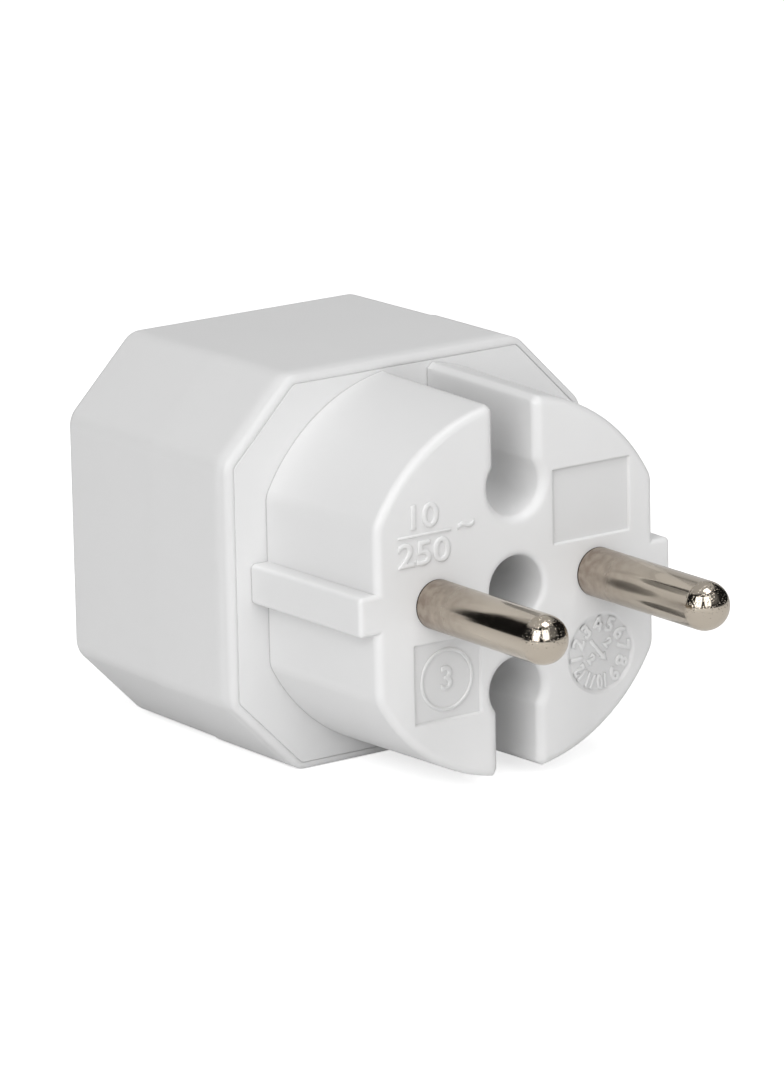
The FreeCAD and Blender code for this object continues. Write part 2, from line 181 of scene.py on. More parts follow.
class FaceMarks(bpy.types.PropertyGroup):
    relief: FloatProperty(
        name="Relief", description="How far the figures stand out of the plastic",
        unit="LENGTH", default=0.15 * MM,
    )
    softness: FloatProperty(
        name="Softness", description="Width of the rounded edge of each figure",
        unit="LENGTH", default=0.08 * MM,
    )
    figure_height: FloatProperty(
        name="Figure height", description="Height of the large figures", unit="LENGTH", default=2.3 * MM,
    )
    dial_height: FloatProperty(
        name="Dial numeral height", description="Height of the dial's numerals",
        unit="LENGTH", default=1.4 * MM,
    )


class StudioLight(bpy.types.PropertyGroup):
    ambient: FloatProperty(
        name="Ambient", description="Strength of the even light from all round", min=0, default=0.41,
    )
    left: FloatProperty(
        name="Left softbox", description="Power of the softbox left of the camera",
        unit="POWER", default=2.9,
    )
    right: FloatProperty(
        name="Right softbox", description="Power of the softbox right of the camera",
        unit="POWER", default=1.75,
    )
    overhead: FloatProperty(
        name="Overhead softbox", description="Power of the softbox above", unit="POWER", default=1.7,
    )


def add_node(tree, kind, settings=None, inputs=None, links=None):
    """Node of a kind with attribute settings, input values and links given as input: output socket."""
    node = tree.nodes.new(kind)
    for name, value in (settings or {}).items():
        setattr(node, name, value)
    for name, value in (inputs or {}).items():
        node.inputs[name].default_value = value
    for name, socket in (links or {}).items():
        tree.links.new(socket, node.inputs[name])
    return node


def new_material(name):
    """Empty node material and its output node."""
    material = bpy.data.materials.new(name)
    material.use_nodes = True
    material.node_tree.nodes.clear()
    return material, add_node(material.node_tree, "ShaderNodeOutputMaterial")


def finish(material, output, shader):
    """The material, with its shader joined to its output."""
    material.node_tree.links.new(shader, output.inputs["Surface"])
    return material


def dress(names, material):
    """Gives CAD nodes or pieces their material."""
    for name in names:
        slots = bpy.data.objects[name].data.materials
        slots.clear()
        slots.append(material)


def deselect_all():
    """Deselects everything, the CAD nodes too."""
    for other in bpy.context.view_layer.objects:
        other.select_set(False)


def make_active(piece):
    """Selects one piece alone, for the operators that act on it."""
    deselect_all()
    piece.select_set(True)
    bpy.context.view_layer.objects.active = piece


def sunk_shade(tree, tint, split):
    """The tint with painted shade, darker on the floors of the face's recesses and in the corner at the
    cover plate.
    """
    settings = bpy.context.scene.adapter_plastic
    # A true normal's Y is below the first of these on a floor, and above the second on a wall
    floor_limit = -0.95
    wall_limit = -0.5
    # The middle and reach of the depths that the dial and the panels have, and of the corner's fine line
    recess_depth = 0.27 * MM
    recess_reach = 0.12 * MM
    foot_height = 0.09 * MM
    foot_reach = 0.08 * MM
    geometry = add_node(tree, "ShaderNodeNewGeometry")
    turned = add_node(tree, "ShaderNodeSeparateXYZ", links={"Vector": geometry.outputs["True Normal"]})
    # Painted shade: the floors of the shallow recesses are painted darker than the face
    forward = add_node(
        tree, "ShaderNodeMath", {"operation": "LESS_THAN"}, {1: floor_limit}, {0: turned.outputs["Y"]}
    )
    sunk = add_node(
        tree, "ShaderNodeMath", {"operation": "COMPARE"}, {1: FACE_Y + recess_depth, 2: recess_reach},
        {0: split.outputs["Y"]},
    )
    recess = add_node(
        tree, "ShaderNodeMath", {"operation": "MULTIPLY"},
        links={0: forward.outputs["Value"], 1: sunk.outputs["Value"]},
    )
    recess_shade = add_node(
        tree, "ShaderNodeMath", {"operation": "MULTIPLY"},
        {1: (1 - settings.recess_tone) / (1 - settings.foot_tone)}, {0: recess.outputs["Value"]},
    )
    # Painted shade: a fine dark line is painted in the sharp corner between the plug's walls and the
    # cover plate
    beside = add_node(
        tree, "ShaderNodeMath", {"operation": "GREATER_THAN"}, {1: wall_limit},
        {0: turned.outputs["Y"]},
    )
    near = add_node(
        tree, "ShaderNodeMath", {"operation": "COMPARE"}, {1: RIM_Y - foot_height, 2: foot_reach},
        {0: split.outputs["Y"]},
    )
    foot = add_node(
        tree, "ShaderNodeMath", {"operation": "MULTIPLY"},
        links={0: beside.outputs["Value"], 1: near.outputs["Value"]},
    )
    share = add_node(
        tree, "ShaderNodeMath", {"operation": "ADD"},
        links={0: recess_shade.outputs["Value"], 1: foot.outputs["Value"]},
    )
    shaded = add_node(
        tree, "ShaderNodeMix", {"data_type": "RGBA", "blend_type": "MULTIPLY"},
        {"B": (*[settings.foot_tone] * 3, 1)}, {"Factor": share.outputs["Value"], "A": tint},
    )
    return shaded.outputs["Result"]


def rounded_normal(tree, split, middle_rounding, side_rounding, crisp_from, lean):
    """Normal that rounds small edges, and leans walls forward into the rim as a large fillet would.

    Edges are rounded to one radius near the middle and to another at the sides, and not at all behind
    crisp_from. Walls lean forward by the share lean where they meet the rim.
    """
    rim_lean_depth = bpy.context.scene.adapter_plastic.rim_lean_depth
    # Half the width over which one radius turns into the other
    change = 0.2 * MM
    aside = add_node(tree, "ShaderNodeMath", {"operation": "ABSOLUTE"}, links={0: split.outputs["X"]})
    wanted = add_node(
        tree, "ShaderNodeMapRange",
        inputs={
            "From Min": MIDDLE_HALF_WIDTH - change, "From Max": MIDDLE_HALF_WIDTH + change,
            "To Min": middle_rounding, "To Max": side_rounding,
        },
        links={"Value": aside.outputs["Value"]},
    )
    outer = add_node(
        tree, "ShaderNodeMath", {"operation": "LESS_THAN"}, {1: crisp_from}, {0: split.outputs["Y"]}
    )
    radius = add_node(
        tree, "ShaderNodeMath", {"operation": "MULTIPLY"},
        links={0: wanted.outputs["Result"], 1: outer.outputs["Value"]},
    )
    rounded = add_node(tree, "ShaderNodeBevel", {"samples": 8}, links={"Radius": radius.outputs["Value"]})
    forwards = add_node(
        tree, "ShaderNodeMapRange", {"interpolation_type": "SMOOTHSTEP"},
        {
            "From Min": RIM_Y - rim_lean_depth, "From Max": RIM_Y + rim_lean_depth,
            "To Min": 2 * lean, "To Max": 0.0,
        },
        {"Value": split.outputs["Y"]},
    )
    tilt = add_node(
        tree, "ShaderNodeVectorMath", {"operation": "SCALE"}, {0: (0, -1, 0)},
        {"Scale": forwards.outputs["Result"]},
    )
    leaning = add_node(
        tree, "ShaderNodeVectorMath", {"operation": "ADD"},
        links={0: rounded.outputs["Normal"], 1: tilt.outputs["Vector"]},
    )
    facing = add_node(
        tree, "ShaderNodeVectorMath", {"operation": "NORMALIZE"}, links={0: leaning.outputs["Vector"]}
    )
    return facing.outputs["Vector"]


def dial_edge_normal(tree, place, split, normal):
    """The normal, and on the dial's sloped edge that of an exact circular cone."""
    # The slope begins and ends softly, between these radii
    inner_start, inner_end = DIAL_FLOOR_RADIUS - 0.05 * MM, DIAL_FLOOR_RADIUS + 0.15 * MM
    outer_start, outer_end = DIAL_RADIUS + 0.12 * MM, DIAL_RADIUS - 0.12 * MM
    steepness = 0.5
    # The cone takes over to either side of this radius, down to just below the dial's floor
    edge_radius = 3.86 * MM
    edge_reach = 0.34 * MM
    below_floor = 0.05 * MM
    from_dial = add_node(
        tree, "ShaderNodeVectorMath", {"operation": "SUBTRACT"},
        {1: (DIAL_CENTRE[0], 0, AXIS_Z + DIAL_CENTRE[1])}, {0: place},
    )
    # Back towards the centre, along the face
    back = add_node(
        tree, "ShaderNodeVectorMath", {"operation": "MULTIPLY"}, {1: (-1, 0, -1)},
        {0: from_dial.outputs["Vector"]},
    )
    radius = add_node(
        tree, "ShaderNodeVectorMath", {"operation": "LENGTH"}, links={0: back.outputs["Vector"]}
    )
    inwards = add_node(
        tree, "ShaderNodeVectorMath", {"operation": "NORMALIZE"}, links={0: back.outputs["Vector"]}
    )
    inner_turn = add_node(
        tree, "ShaderNodeMapRange", {"interpolation_type": "SMOOTHSTEP"},
        {"From Min": inner_start, "From Max": inner_end, "To Max": steepness},
        {"Value": radius.outputs["Value"]},
    )
    outer_turn = add_node(
        tree, "ShaderNodeMapRange", {"interpolation_type": "SMOOTHSTEP"},
        {"From Min": outer_start, "From Max": outer_end}, {"Value": radius.outputs["Value"]},
    )
    slope = add_node(
        tree, "ShaderNodeMath", {"operation": "MULTIPLY"},
        links={0: inner_turn.outputs["Result"], 1: outer_turn.outputs["Result"]},
    )
    lean_in = add_node(
        tree, "ShaderNodeVectorMath", {"operation": "SCALE"},
        links={0: inwards.outputs["Vector"], "Scale": slope.outputs["Value"]},
    )
    leaning = add_node(
        tree, "ShaderNodeVectorMath", {"operation": "ADD"}, {1: (0, -1, 0)},
        {0: lean_in.outputs["Vector"]},
    )
    cone = add_node(
        tree, "ShaderNodeVectorMath", {"operation": "NORMALIZE"}, links={0: leaning.outputs["Vector"]}
    )
    by_edge = add_node(
        tree, "ShaderNodeMath", {"operation": "COMPARE"}, {1: edge_radius, 2: edge_reach},
        {0: radius.outputs["Value"]},
    )
    at_face = add_node(
        tree, "ShaderNodeMath", {"operation": "LESS_THAN"}, {1: FACE_Y + DIAL_DEPTH + below_floor},
        {0: split.outputs["Y"]},
    )
    on_edge = add_node(
        tree, "ShaderNodeMath", {"operation": "MULTIPLY"},
        links={0: by_edge.outputs["Value"], 1: at_face.outputs["Value"]},
    )
    shaped = add_node(
        tree, "ShaderNodeMix", {"data_type": "VECTOR"},
        links={"Factor": on_edge.outputs["Value"], "A": normal, "B": cone.outputs["Vector"]},
    )
    return shaped.outputs["Result"]


def moulded_abs(name, colour, middle_rounding, side_rounding, crisp_from, lean):
    """Moulded ABS: satin from the eroded mould, with a soft depth that lets light round the edges."""
    settings = bpy.context.scene.adapter_plastic
    # How far the grain moves the roughness to either side
    unevenness = 0.05
    material, output = new_material(name)
    tree = material.node_tree
    place = add_node(tree, "ShaderNodeTexCoord").outputs["Object"]
    split = add_node(tree, "ShaderNodeSeparateXYZ", links={"Vector": place})
    # Broad, faint unevenness of a thick moulding, about 9 mm across
    cloud = add_node(
        tree, "ShaderNodeTexNoise", inputs={"Scale": 1 / (9 * MM), "Detail": 3.0}, links={"Vector": place}
    )
    shade = add_node(
        tree, "ShaderNodeMapRange", inputs={"To Min": 0.975, "To Max": 1.0},
        links={"Value": cloud.outputs["Fac"]},
    )
    tint = add_node(
        tree, "ShaderNodeMix", {"data_type": "RGBA", "blend_type": "MULTIPLY"},
        {"Factor": 1.0, "A": (*colour, 1)}, {"B": shade.outputs["Result"]},
    )
    grain = add_node(
        tree, "ShaderNodeTexNoise", inputs={"Scale": 1 / settings.grain, "Detail": 2.0},
        links={"Vector": place},
    )
    rough = add_node(
        tree, "ShaderNodeMapRange",
        inputs={"To Min": settings.roughness - unevenness, "To Max": settings.roughness + unevenness},
        links={"Value": grain.outputs["Fac"]},
    )
    rounded = rounded_normal(tree, split, middle_rounding, side_rounding, crisp_from, lean)
    bump = add_node(
        tree, "ShaderNodeBump", inputs={"Strength": 0.12, "Distance": 0.02 * MM},
        links={"Height": grain.outputs["Fac"], "Normal": dial_edge_normal(tree, place, split, rounded)},
    )
    shader = add_node(
        tree, "ShaderNodeBsdfPrincipled",
        inputs={
            "IOR": 1.53, "Subsurface Weight": 0.3, "Subsurface Scale": settings.depth,
            "Subsurface Radius": (1.0, 1.0, 1.0),
        },
        links={
            # The base colour carries painted shade on the recess floors and in the corner at the cover
            # plate
            "Base Color": sunk_shade(tree, tint.outputs["Result"], split),
            "Roughness": rough.outputs["Result"], "Normal": bump.outputs["Normal"],
        },
    )
    return finish(material, output, shader.outputs["BSDF"])


def nickel_colour(tree, split, wear, blotch):
    """Nickel that is stained in patches where it is worn, with painted shade in a dark line at the plug
    face.
    """
    settings = bpy.context.scene.adapter_pins
    patches = add_node(
        tree, "ShaderNodeMapRange",
        inputs={"From Min": 0.35, "From Max": 0.65, "To Min": 0.35, "To Max": 0.85},
        links={"Value": blotch},
    )
    stain = add_node(
        tree, "ShaderNodeMath", {"operation": "MULTIPLY"}, links={0: wear, 1: patches.outputs["Result"]}
    )
    stained = add_node(
        tree, "ShaderNodeMix", {"data_type": "RGBA"},
        {"A": (*settings.nickel_colour, 1), "B": (*settings.stain_colour, 1)},
        {"Factor": stain.outputs["Value"]},
    )
    # Painted shade: a dark line on the pin where it leaves the plug face, in place of the gap's shadow
    gap_shade = add_node(
        tree, "ShaderNodeMapRange", {"interpolation_type": "SMOOTHSTEP"},
        {"From Min": FACE_Y - settings.joint_width, "From Max": FACE_Y - settings.joint_width / 2},
        {"Value": split.outputs["Y"]},
    )
    colour = add_node(
        tree, "ShaderNodeMix", {"data_type": "RGBA"}, {"B": (*settings.joint_colour, 1)},
        {"Factor": gap_shade.outputs["Result"], "A": stained.outputs["Result"]},
    )
    return colour.outputs["Result"]


def pin_normal(tree, place, split, dome_y):
    """Normal with turning lines on the shank, and with pits on the dome, shaded as an exact ball."""
    pit_depth = 0.02 * MM
    line_height = 0.003 * MM
    change = 0.1 * MM
    # 0 on the dome and 1 on the shank
    shank = add_node(
        tree, "ShaderNodeMapRange", inputs={"From Min": dome_y - change, "From Max": dome_y},
        links={"Value": split.outputs["Y"]},
    )
    # Faint turning and plugging lines 0.12 mm apart round the pin and many millimetres long
    stretch = add_node(
        tree, "ShaderNodeMapping", inputs={"Scale": (1 / (0.12 * MM), 1 / (6 * MM), 1 / (0.12 * MM))},
        links={"Vector": place},
    )
    lines = add_node(
        tree, "ShaderNodeTexNoise", inputs={"Scale": 1.0, "Detail": 2.0},
        links={"Vector": stretch.outputs["Vector"]},
    )
    # Scattered pits 0.2 mm across, where the noise peaks
    pitting = add_node(
        tree, "ShaderNodeTexNoise", inputs={"Scale": 1 / (0.2 * MM), "Detail": 1.0},
        links={"Vector": place},
    )
    pits = add_node(
        tree, "ShaderNodeMapRange", inputs={"From Min": 0.58, "From Max": 0.75},
        links={"Value": pitting.outputs["Fac"]},
    )
    surface = add_node(
        tree, "ShaderNodeMix", {"data_type": "FLOAT"},
        links={
            "Factor": shank.outputs["Result"], "A": pits.outputs["Result"], "B": lines.outputs["Fac"],
        },
    )
    # Pits go in, and lines stand out
    relief = add_node(
        tree, "ShaderNodeMapRange", inputs={"To Min": -pit_depth, "To Max": line_height},
        links={"Value": shank.outputs["Result"]},
    )
    # Away from the centre of the dome of this side's pin
    side = add_node(tree, "ShaderNodeMath", {"operation": "SIGN"}, links={0: split.outputs["X"]})
    middle_x = add_node(
        tree, "ShaderNodeMath", {"operation": "MULTIPLY"}, {1: PIN_X}, {0: side.outputs["Value"]}
    )
    middle = add_node(
        tree, "ShaderNodeCombineXYZ", inputs={"Y": dome_y, "Z": AXIS_Z},
        links={"X": middle_x.outputs["Value"]},
    )
    outward = add_node(
        tree, "ShaderNodeVectorMath", {"operation": "SUBTRACT"},
        links={0: place, 1: middle.outputs["Vector"]},
    )
    ball = add_node(
        tree, "ShaderNodeVectorMath", {"operation": "NORMALIZE"}, links={0: outward.outputs["Vector"]}
    )
    geometry = add_node(tree, "ShaderNodeNewGeometry")
    facing = add_node(
        tree, "ShaderNodeMix", {"data_type": "VECTOR"},
        links={
            "Factor": shank.outputs["Result"], "A": ball.outputs["Vector"],
            "B": geometry.outputs["Normal"],
        },
    )
    bump = add_node(
        tree, "ShaderNodeBump", inputs={"Strength": 1.0},
        links={
            "Distance": relief.outputs["Result"], "Height": surface.outputs["Result"],
            "Normal": facing.outputs["Result"],
        },
    )
    return bump.outputs["Normal"]


def nickel_plate():
    """Nickel on turned brass: bright at the tip, and dulled and stained towards the plug face by use."""
    settings = bpy.context.scene.adapter_pins
    material, output = new_material("worn_nickel_plate")
    tree = material.node_tree
    place = add_node(tree, "ShaderNodeTexCoord").outputs["Object"]
    split = add_node(tree, "ShaderNodeSeparateXYZ", links={"Vector": place})
    # Centre of the dome, which is as wide as the pin
    dome_y = PIN_TIP_Y + (PIN_HIGH.z - PIN_LOW.z) / 2
    wear_start = FACE_Y - 10 * MM
    wear_end = FACE_Y - 1 * MM
    # How far the blotches move the roughness to either side
    unevenness = 0.04
    # 0 over the outer half of the pin, rising to 1 near the plug face
    wear = add_node(
        tree, "ShaderNodeMapRange", inputs={"From Min": wear_start, "From Max": wear_end},
        links={"Value": split.outputs["Y"]},
    )
    # Blotches 0.9 mm across, of stain and of gloss
    blotch = add_node(
        tree, "ShaderNodeTexNoise", inputs={"Scale": 1 / (0.9 * MM), "Detail": 5.0},
        links={"Vector": place},
    )
    dull = add_node(
        tree, "ShaderNodeMapRange",
        inputs={"To Min": settings.tip_roughness, "To Max": settings.base_roughness},
        links={"Value": wear.outputs["Result"]},
    )
    uneven = add_node(
        tree, "ShaderNodeMapRange", inputs={"To Min": -unevenness, "To Max": unevenness},
        links={"Value": blotch.outputs["Fac"]},
    )
    rough = add_node(
        tree, "ShaderNodeMath", {"operation": "ADD"},
        links={0: dull.outputs["Result"], 1: uneven.outputs["Result"]},
    )
    shader = add_node(
        tree, "ShaderNodeBsdfPrincipled", inputs={"Metallic": 1.0},
        links={
            "Base Color": nickel_colour(tree, split, wear.outputs["Result"], blotch.outputs["Fac"]),
            "Roughness": rough.outputs["Value"], "Normal": pin_normal(tree, place, split, dome_y),
        },
    )
    return finish(material, output, shader.outputs["BSDF"])


def rolled_metal(name, light, dark, roughness):
    """Stamped strip or drawn wire: rolling marks, 0.3 mm by 4 mm, as slight streaks of tone and gloss."""
    material, output = new_material(name)
    tree = material.node_tree
    place = add_node(tree, "ShaderNodeTexCoord").outputs["Object"]
    stretch = add_node(
        tree, "ShaderNodeMapping", inputs={"Scale": (1 / (0.3 * MM), 1 / (0.3 * MM), 1 / (4 * MM))},
        links={"Vector": place},
    )
    marks = add_node(
        tree, "ShaderNodeTexNoise", inputs={"Scale": 1.0, "Detail": 3.0},
        links={"Vector": stretch.outputs["Vector"]},
    )
    colour = add_node(
        tree, "ShaderNodeMix", {"data_type": "RGBA"}, {"A": (*light, 1), "B": (*dark, 1)},
        {"Factor": marks.outputs["Fac"]},
    )
    rough = add_node(
        tree, "ShaderNodeMapRange", inputs={"To Min": roughness - 0.06, "To Max": roughness + 0.08},
        links={"Value": marks.outputs["Fac"]},
    )
    shader = add_node(
        tree, "ShaderNodeBsdfPrincipled", inputs={"Metallic": 1.0},
        links={"Base Color": colour.outputs["Result"], "Roughness": rough.outputs["Result"]},
    )
    return finish(material, output, shader.outputs["BSDF"])


class ADAPTER_OT_mouldings(bpy.types.Operator):
    """Gives the housing and the plug base their moulded plastic"""
    bl_idname = "adapter.mouldings"
    bl_label = "Finish mouldings"

    # Behind its rim the housing's edges are round as they are
    rim_end = RIM_Y + 1.5 * MM
    rim_lean = 0.8
    # The corner between the plug's walls and the cover plate is sharp
    walls_end = RIM_Y - 0.8 * MM

    def execute(self, context):
        settings = context.scene.adapter_plastic
        dress(["housing"], moulded_abs(
            "moulded_abs_housing", settings.housing_colour, settings.rim_rounding, settings.rim_rounding,
            self.rim_end, self.rim_lean,
        ))
        dress(["plug_base"], moulded_abs(
            "moulded_abs_plug", settings.plug_colour, settings.slot_rounding, settings.edge_rounding,
            self.walls_end, 0.0,
        ))
        return {"FINISHED"}


class ADAPTER_OT_pins(bpy.types.Operator):
    """Gives the two plug pins their nickel plate"""
    bl_idname = "adapter.pins"
    bl_label = "Finish pins"

    def execute(self, context):
        dress(["plug_pin_left", "plug_pin_right"], nickel_plate())
        return {"FINISHED"}


class ADAPTER_OT_conductors(bpy.types.Operator):
    """Gives the parts inside their brass, spring steel and zinc"""
    bl_idname = "adapter.conductors"
    bl_label = "Finish inner metal"

    def execute(self, context):
        brass = rolled_metal("rolled_brass", hex_colour("#D2AE68"), hex_colour("#BC9650"), 0.3)
        steel = rolled_metal("spring_steel", hex_colour("#A4A4A6"), hex_colour("#8C8C90"), 0.28)
        zinc = rolled_metal("zinc_plate", hex_colour("#BFC0C2"), hex_colour("#A6A8AC"), 0.34)
        metals = {
            ("bus_bar", "pin_washer", "socket_contact", "contact_rivet"): brass,
            ("contact_spring",): steel,
            ("assembly_screw",): zinc,
        }
        for beginnings, metal in metals.items():
            dress([name for name in frame["nodes"] if name.startswith(beginnings)], metal)
        return {"FINISHED"}


def settle(piece, name):
    """Applies a piece's place, closes its seams, and gives it its name, body and plastic."""
    merge_distance = 0.001 * MM
    smooth_below = math.radians(30)
    make_active(piece)
    bpy.ops.object.transform_apply(location=True, rotation=True, scale=True)
    piece.name = name
    bpy.ops.object.mode_set(mode="EDIT")
    bpy.ops.mesh.select_all(action="SELECT")
    bpy.ops.mesh.remove_doubles(threshold=merge_distance)
    bpy.ops.mesh.normals_make_consistent(inside=False)
    bpy.ops.object.mode_set(mode="OBJECT")
    dress([name], bpy.data.materials["moulded_abs_plug"])
    bpy.ops.object.shade_smooth_by_angle(angle=smooth_below)
    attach(piece, "root")
    return piece


def raised_text(body, x, z, height, floor_y, turn=0.0, stretch=1.0, boldness=0.0):
    """Mesh of figures centred on (x, z) from the pin line, standing out of the floor at floor_y."""
    marks = bpy.context.scene.adapter_marks
    # Height of a capital as a share of the font's size
    capital_share = 0.7
    deselect_all()
    bpy.ops.object.text_add()
    text = bpy.context.object
    text.data.body = body
    text.data.align_x = "CENTER"
    text.data.align_y = "CENTER"
    text.data.size = height / capital_share
    text.data.offset = boldness
    text.data.extrude = marks.relief - marks.softness
    text.data.bevel_depth = marks.softness
    text.data.bevel_resolution = 2
    text.data.resolution_u = 4
    make_active(text)
    bpy.ops.object.convert(target="MESH")
    piece = bpy.context.object
    stand = Matrix.Rotation(math.radians(90), 4, "X")
    spin = Matrix.Rotation(turn, 4, "Y")
    wide = Matrix.Scale(stretch, 4, Vector((1, 0, 0)))
    piece.matrix_world = Matrix.Translation(Vector((x, floor_y, AXIS_Z + z))) @ spin @ stand @ wide
    return piece


def join(pieces):
    """One mesh from several."""
    deselect_all()
    for piece in pieces:
        piece.select_set(True)
    bpy.context.view_layer.objects.active = pieces[0]
    bpy.ops.object.join()
    return bpy.context.object


def raised_bar(start, end, width, floor_y):
    """Rounded bar between two (x, z) points of the plug face."""
    marks = bpy.context.scene.adapter_marks
    length = math.dist(start, end)
    angle = math.atan2(end[1] - start[1], end[0] - start[0])
    deselect_all()
    bpy.ops.mesh.primitive_cube_add(size=1)
    piece = bpy.context.object
    piece.scale = (length, 2 * marks.relief, width)
    bpy.ops.object.transform_apply(location=False, rotation=False, scale=True)
    bevel = piece.modifiers.new("edges", "BEVEL")
    bevel.width = marks.softness
    bevel.segments = 3
    bpy.ops.object.modifier_apply(modifier=bevel.name)
    middle = Vector(((start[0] + end[0]) / 2, floor_y, AXIS_Z + (start[1] + end[1]) / 2))
    piece.matrix_world = Matrix.Translation(middle) @ Matrix.Rotation(-angle, 4, "Y")
    return piece


class ADAPTER_OT_rating_figures(bpy.types.Operator):
    """Raises the plain figures at the upper left of the plug face"""
    bl_idname = "adapter.rating_figures"
    bl_label = "Raised figures"

    # Each figure's centre from the pin line, and its stretch in width
    figures = (
        ("10", -11.1 * MM, 8.65 * MM, 1.2),
        ("250", -10.9 * MM, 5.1 * MM, 1.25),
        ("~", -6.0 * MM, 7.3 * MM, 1.0),
    )
    line_start = (-13.96 * MM, 7.0 * MM)
    line_end = (-7.73 * MM, 7.0 * MM)
    line_width = 0.28 * MM

    def execute(self, context):
        height = context.scene.adapter_marks.figure_height
        pieces = [
            raised_text(figure, x, z, height, FACE_Y, stretch=stretch)
            for figure, x, z, stretch in self.figures
        ]
        pieces.append(raised_bar(self.line_start, self.line_end, self.line_width, FACE_Y))
        settle(join(pieces), "face_figures")
        return {"FINISHED"}


class ADAPTER_OT_date_dial(bpy.types.Operator):
    """Raises the numerals 1 to 12 and the arrow of the mould dial"""
    bl_idname = "adapter.date_dial"
    bl_label = "Mould dial"

    floor_y = FACE_Y + DIAL_DEPTH
    numeral_radius = 2.8 * MM
    boldness = 0.03 * MM
    # The dial is turned so that its top lies just past 4
    top_number = 4.15
    # Two digits are set narrow, to stay clear of their neighbours
    narrow = 0.65
    # The inner digits lie along the arrow, at these places from the dial's centre
    inner_places = ((0.9 * MM, 0.85 * MM), (-1.1 * MM, -0.5 * MM))
    inner_height = 0.95 * MM
    inner_turn = math.radians(50.6)
    # The arrow's ends from the pin line
    arrow_tail = (8.72 * MM, -6.76 * MM)
    arrow_tip = (10.21 * MM, -8.58 * MM)
    arrow_width = 0.42 * MM
    head_radius = 0.55 * MM

    def arrow(self):
        """Shaft with a triangular head, made one solid."""
        tail, tip = self.arrow_tail, self.arrow_tip
        shaft = raised_bar(tail, tip, self.arrow_width, self.floor_y)
        deselect_all()
        bpy.ops.mesh.primitive_cylinder_add(
            vertices=3, radius=self.head_radius, depth=2 * bpy.context.scene.adapter_marks.relief,
        )
        head = bpy.context.object
        along = math.atan2(tip[1] - tail[1], tip[0] - tail[0])
        # The cylinder's first corner is on +Y, which stands up as +Z
        stand = Matrix.Rotation(math.radians(90), 4, "X")
        spin = Matrix.Rotation(math.radians(90) - along, 4, "Y")
        place = Matrix.Translation(Vector((tip[0], self.floor_y, AXIS_Z + tip[1])))
        head.matrix_world = place @ spin @ stand
        make_active(shaft)
        both = shaft.modifiers.new("head", "BOOLEAN")
        both.operation = "UNION"
        both.object = head
        bpy.ops.object.modifier_apply(modifier=both.name)
        bpy.data.objects.remove(head)
        return shaft

    def execute(self, context):
        height = context.scene.adapter_marks.dial_height
        x, z = DIAL_CENTRE
        pieces = []
        for number in range(1, 13):
            turn = math.radians(360 / 12 * (number - self.top_number))
            across, up = self.numeral_radius * math.sin(turn), self.numeral_radius * math.cos(turn)
            pieces.append(raised_text(
                str(number), x + across, z + up, height, self.floor_y, turn,
                1.0 if number < 10 else self.narrow, self.boldness,
            ))
        for across, up in self.inner_places:
            pieces.append(raised_text(
                "2", x + across, z + up, self.inner_height, self.floor_y, self.inner_turn,
                boldness=self.boldness,
            ))
        pieces.append(self.arrow())
        settle(join(pieces), "mould_dial")
        return {"FINISHED"}


class ADAPTER_OT_cavity_mark(bpy.types.Operator):
    """Raises a plain ring with a cavity number in the lower left panel"""
    bl_idname = "adapter.cavity_mark"
    bl_label = "Cavity mark"

    floor_y = FACE_Y + PANEL_DEPTH
    centre = (-8.3 * MM, -7.6 * MM)
    ring_radius = 3.1 * MM
    ring_width = 0.36 * MM

    def ring(self):
        """Flat ring with rounded edges, opened from a disc by bridging its inset caps."""
        marks = bpy.context.scene.adapter_marks
        deselect_all()
        bpy.ops.mesh.primitive_cylinder_add(vertices=64, radius=self.ring_radius, depth=2 * marks.relief)
        ring = bpy.context.object
        bpy.ops.object.mode_set(mode="EDIT")
        bpy.ops.mesh.select_mode(type="FACE")
        bpy.ops.mesh.select_all(action="DESELECT")
        bpy.ops.object.mode_set(mode="OBJECT")
        # The two caps of the disc
        for face in ring.data.polygons:
            face.select = abs(face.normal.z) > 0.9
        bpy.ops.object.mode_set(mode="EDIT")
        bpy.ops.mesh.inset(thickness=self.ring_width, use_even_offset=True)
        bpy.ops.mesh.bridge_edge_loops()
        bpy.ops.object.mode_set(mode="OBJECT")
        edges = ring.modifiers.new("edges", "BEVEL")
        edges.width = marks.softness
        edges.segments = 3
        bpy.ops.object.modifier_apply(modifier=edges.name)
        middle = Vector((self.centre[0], self.floor_y, AXIS_Z + self.centre[1]))
        ring.matrix_world = Matrix.Translation(middle) @ Matrix.Rotation(math.radians(90), 4, "X")
        return ring

    def execute(self, context):
        ring = self.ring()
        number = raised_text("3", *self.centre, context.scene.adapter_marks.figure_height, self.floor_y)
        settle(join([ring, number]), "cavity_mark")
        return {"FINISHED"}


def floor_material():
    """Matt white studio paper, lifted to white for the camera, so that only the shadow shows."""
    lift_to_white = 0.62
    material, output = new_material("studio_paper")
    tree = material.node_tree
    paper = add_node(tree, "ShaderNodeBsdfDiffuse", inputs={"Color": (*hex_colour("#F4F4F4"), 1)})
    path = add_node(tree, "ShaderNodeLightPath")
    lift = add_node(
        tree, "ShaderNodeMath", {"operation": "MULTIPLY"}, {1: lift_to_white},
        {0: path.outputs["Is Camera Ray"]},
    )
    glow = add_node(tree, "ShaderNodeEmission", links={"Strength": lift.outputs["Value"]})
    both = add_node(
        tree, "ShaderNodeAddShader", links={0: paper.outputs["BSDF"], 1: glow.outputs["Emission"]}
    )
    material.cycles.emission_sampling = "NONE"
    return finish(material, output, both.outputs["Shader"])


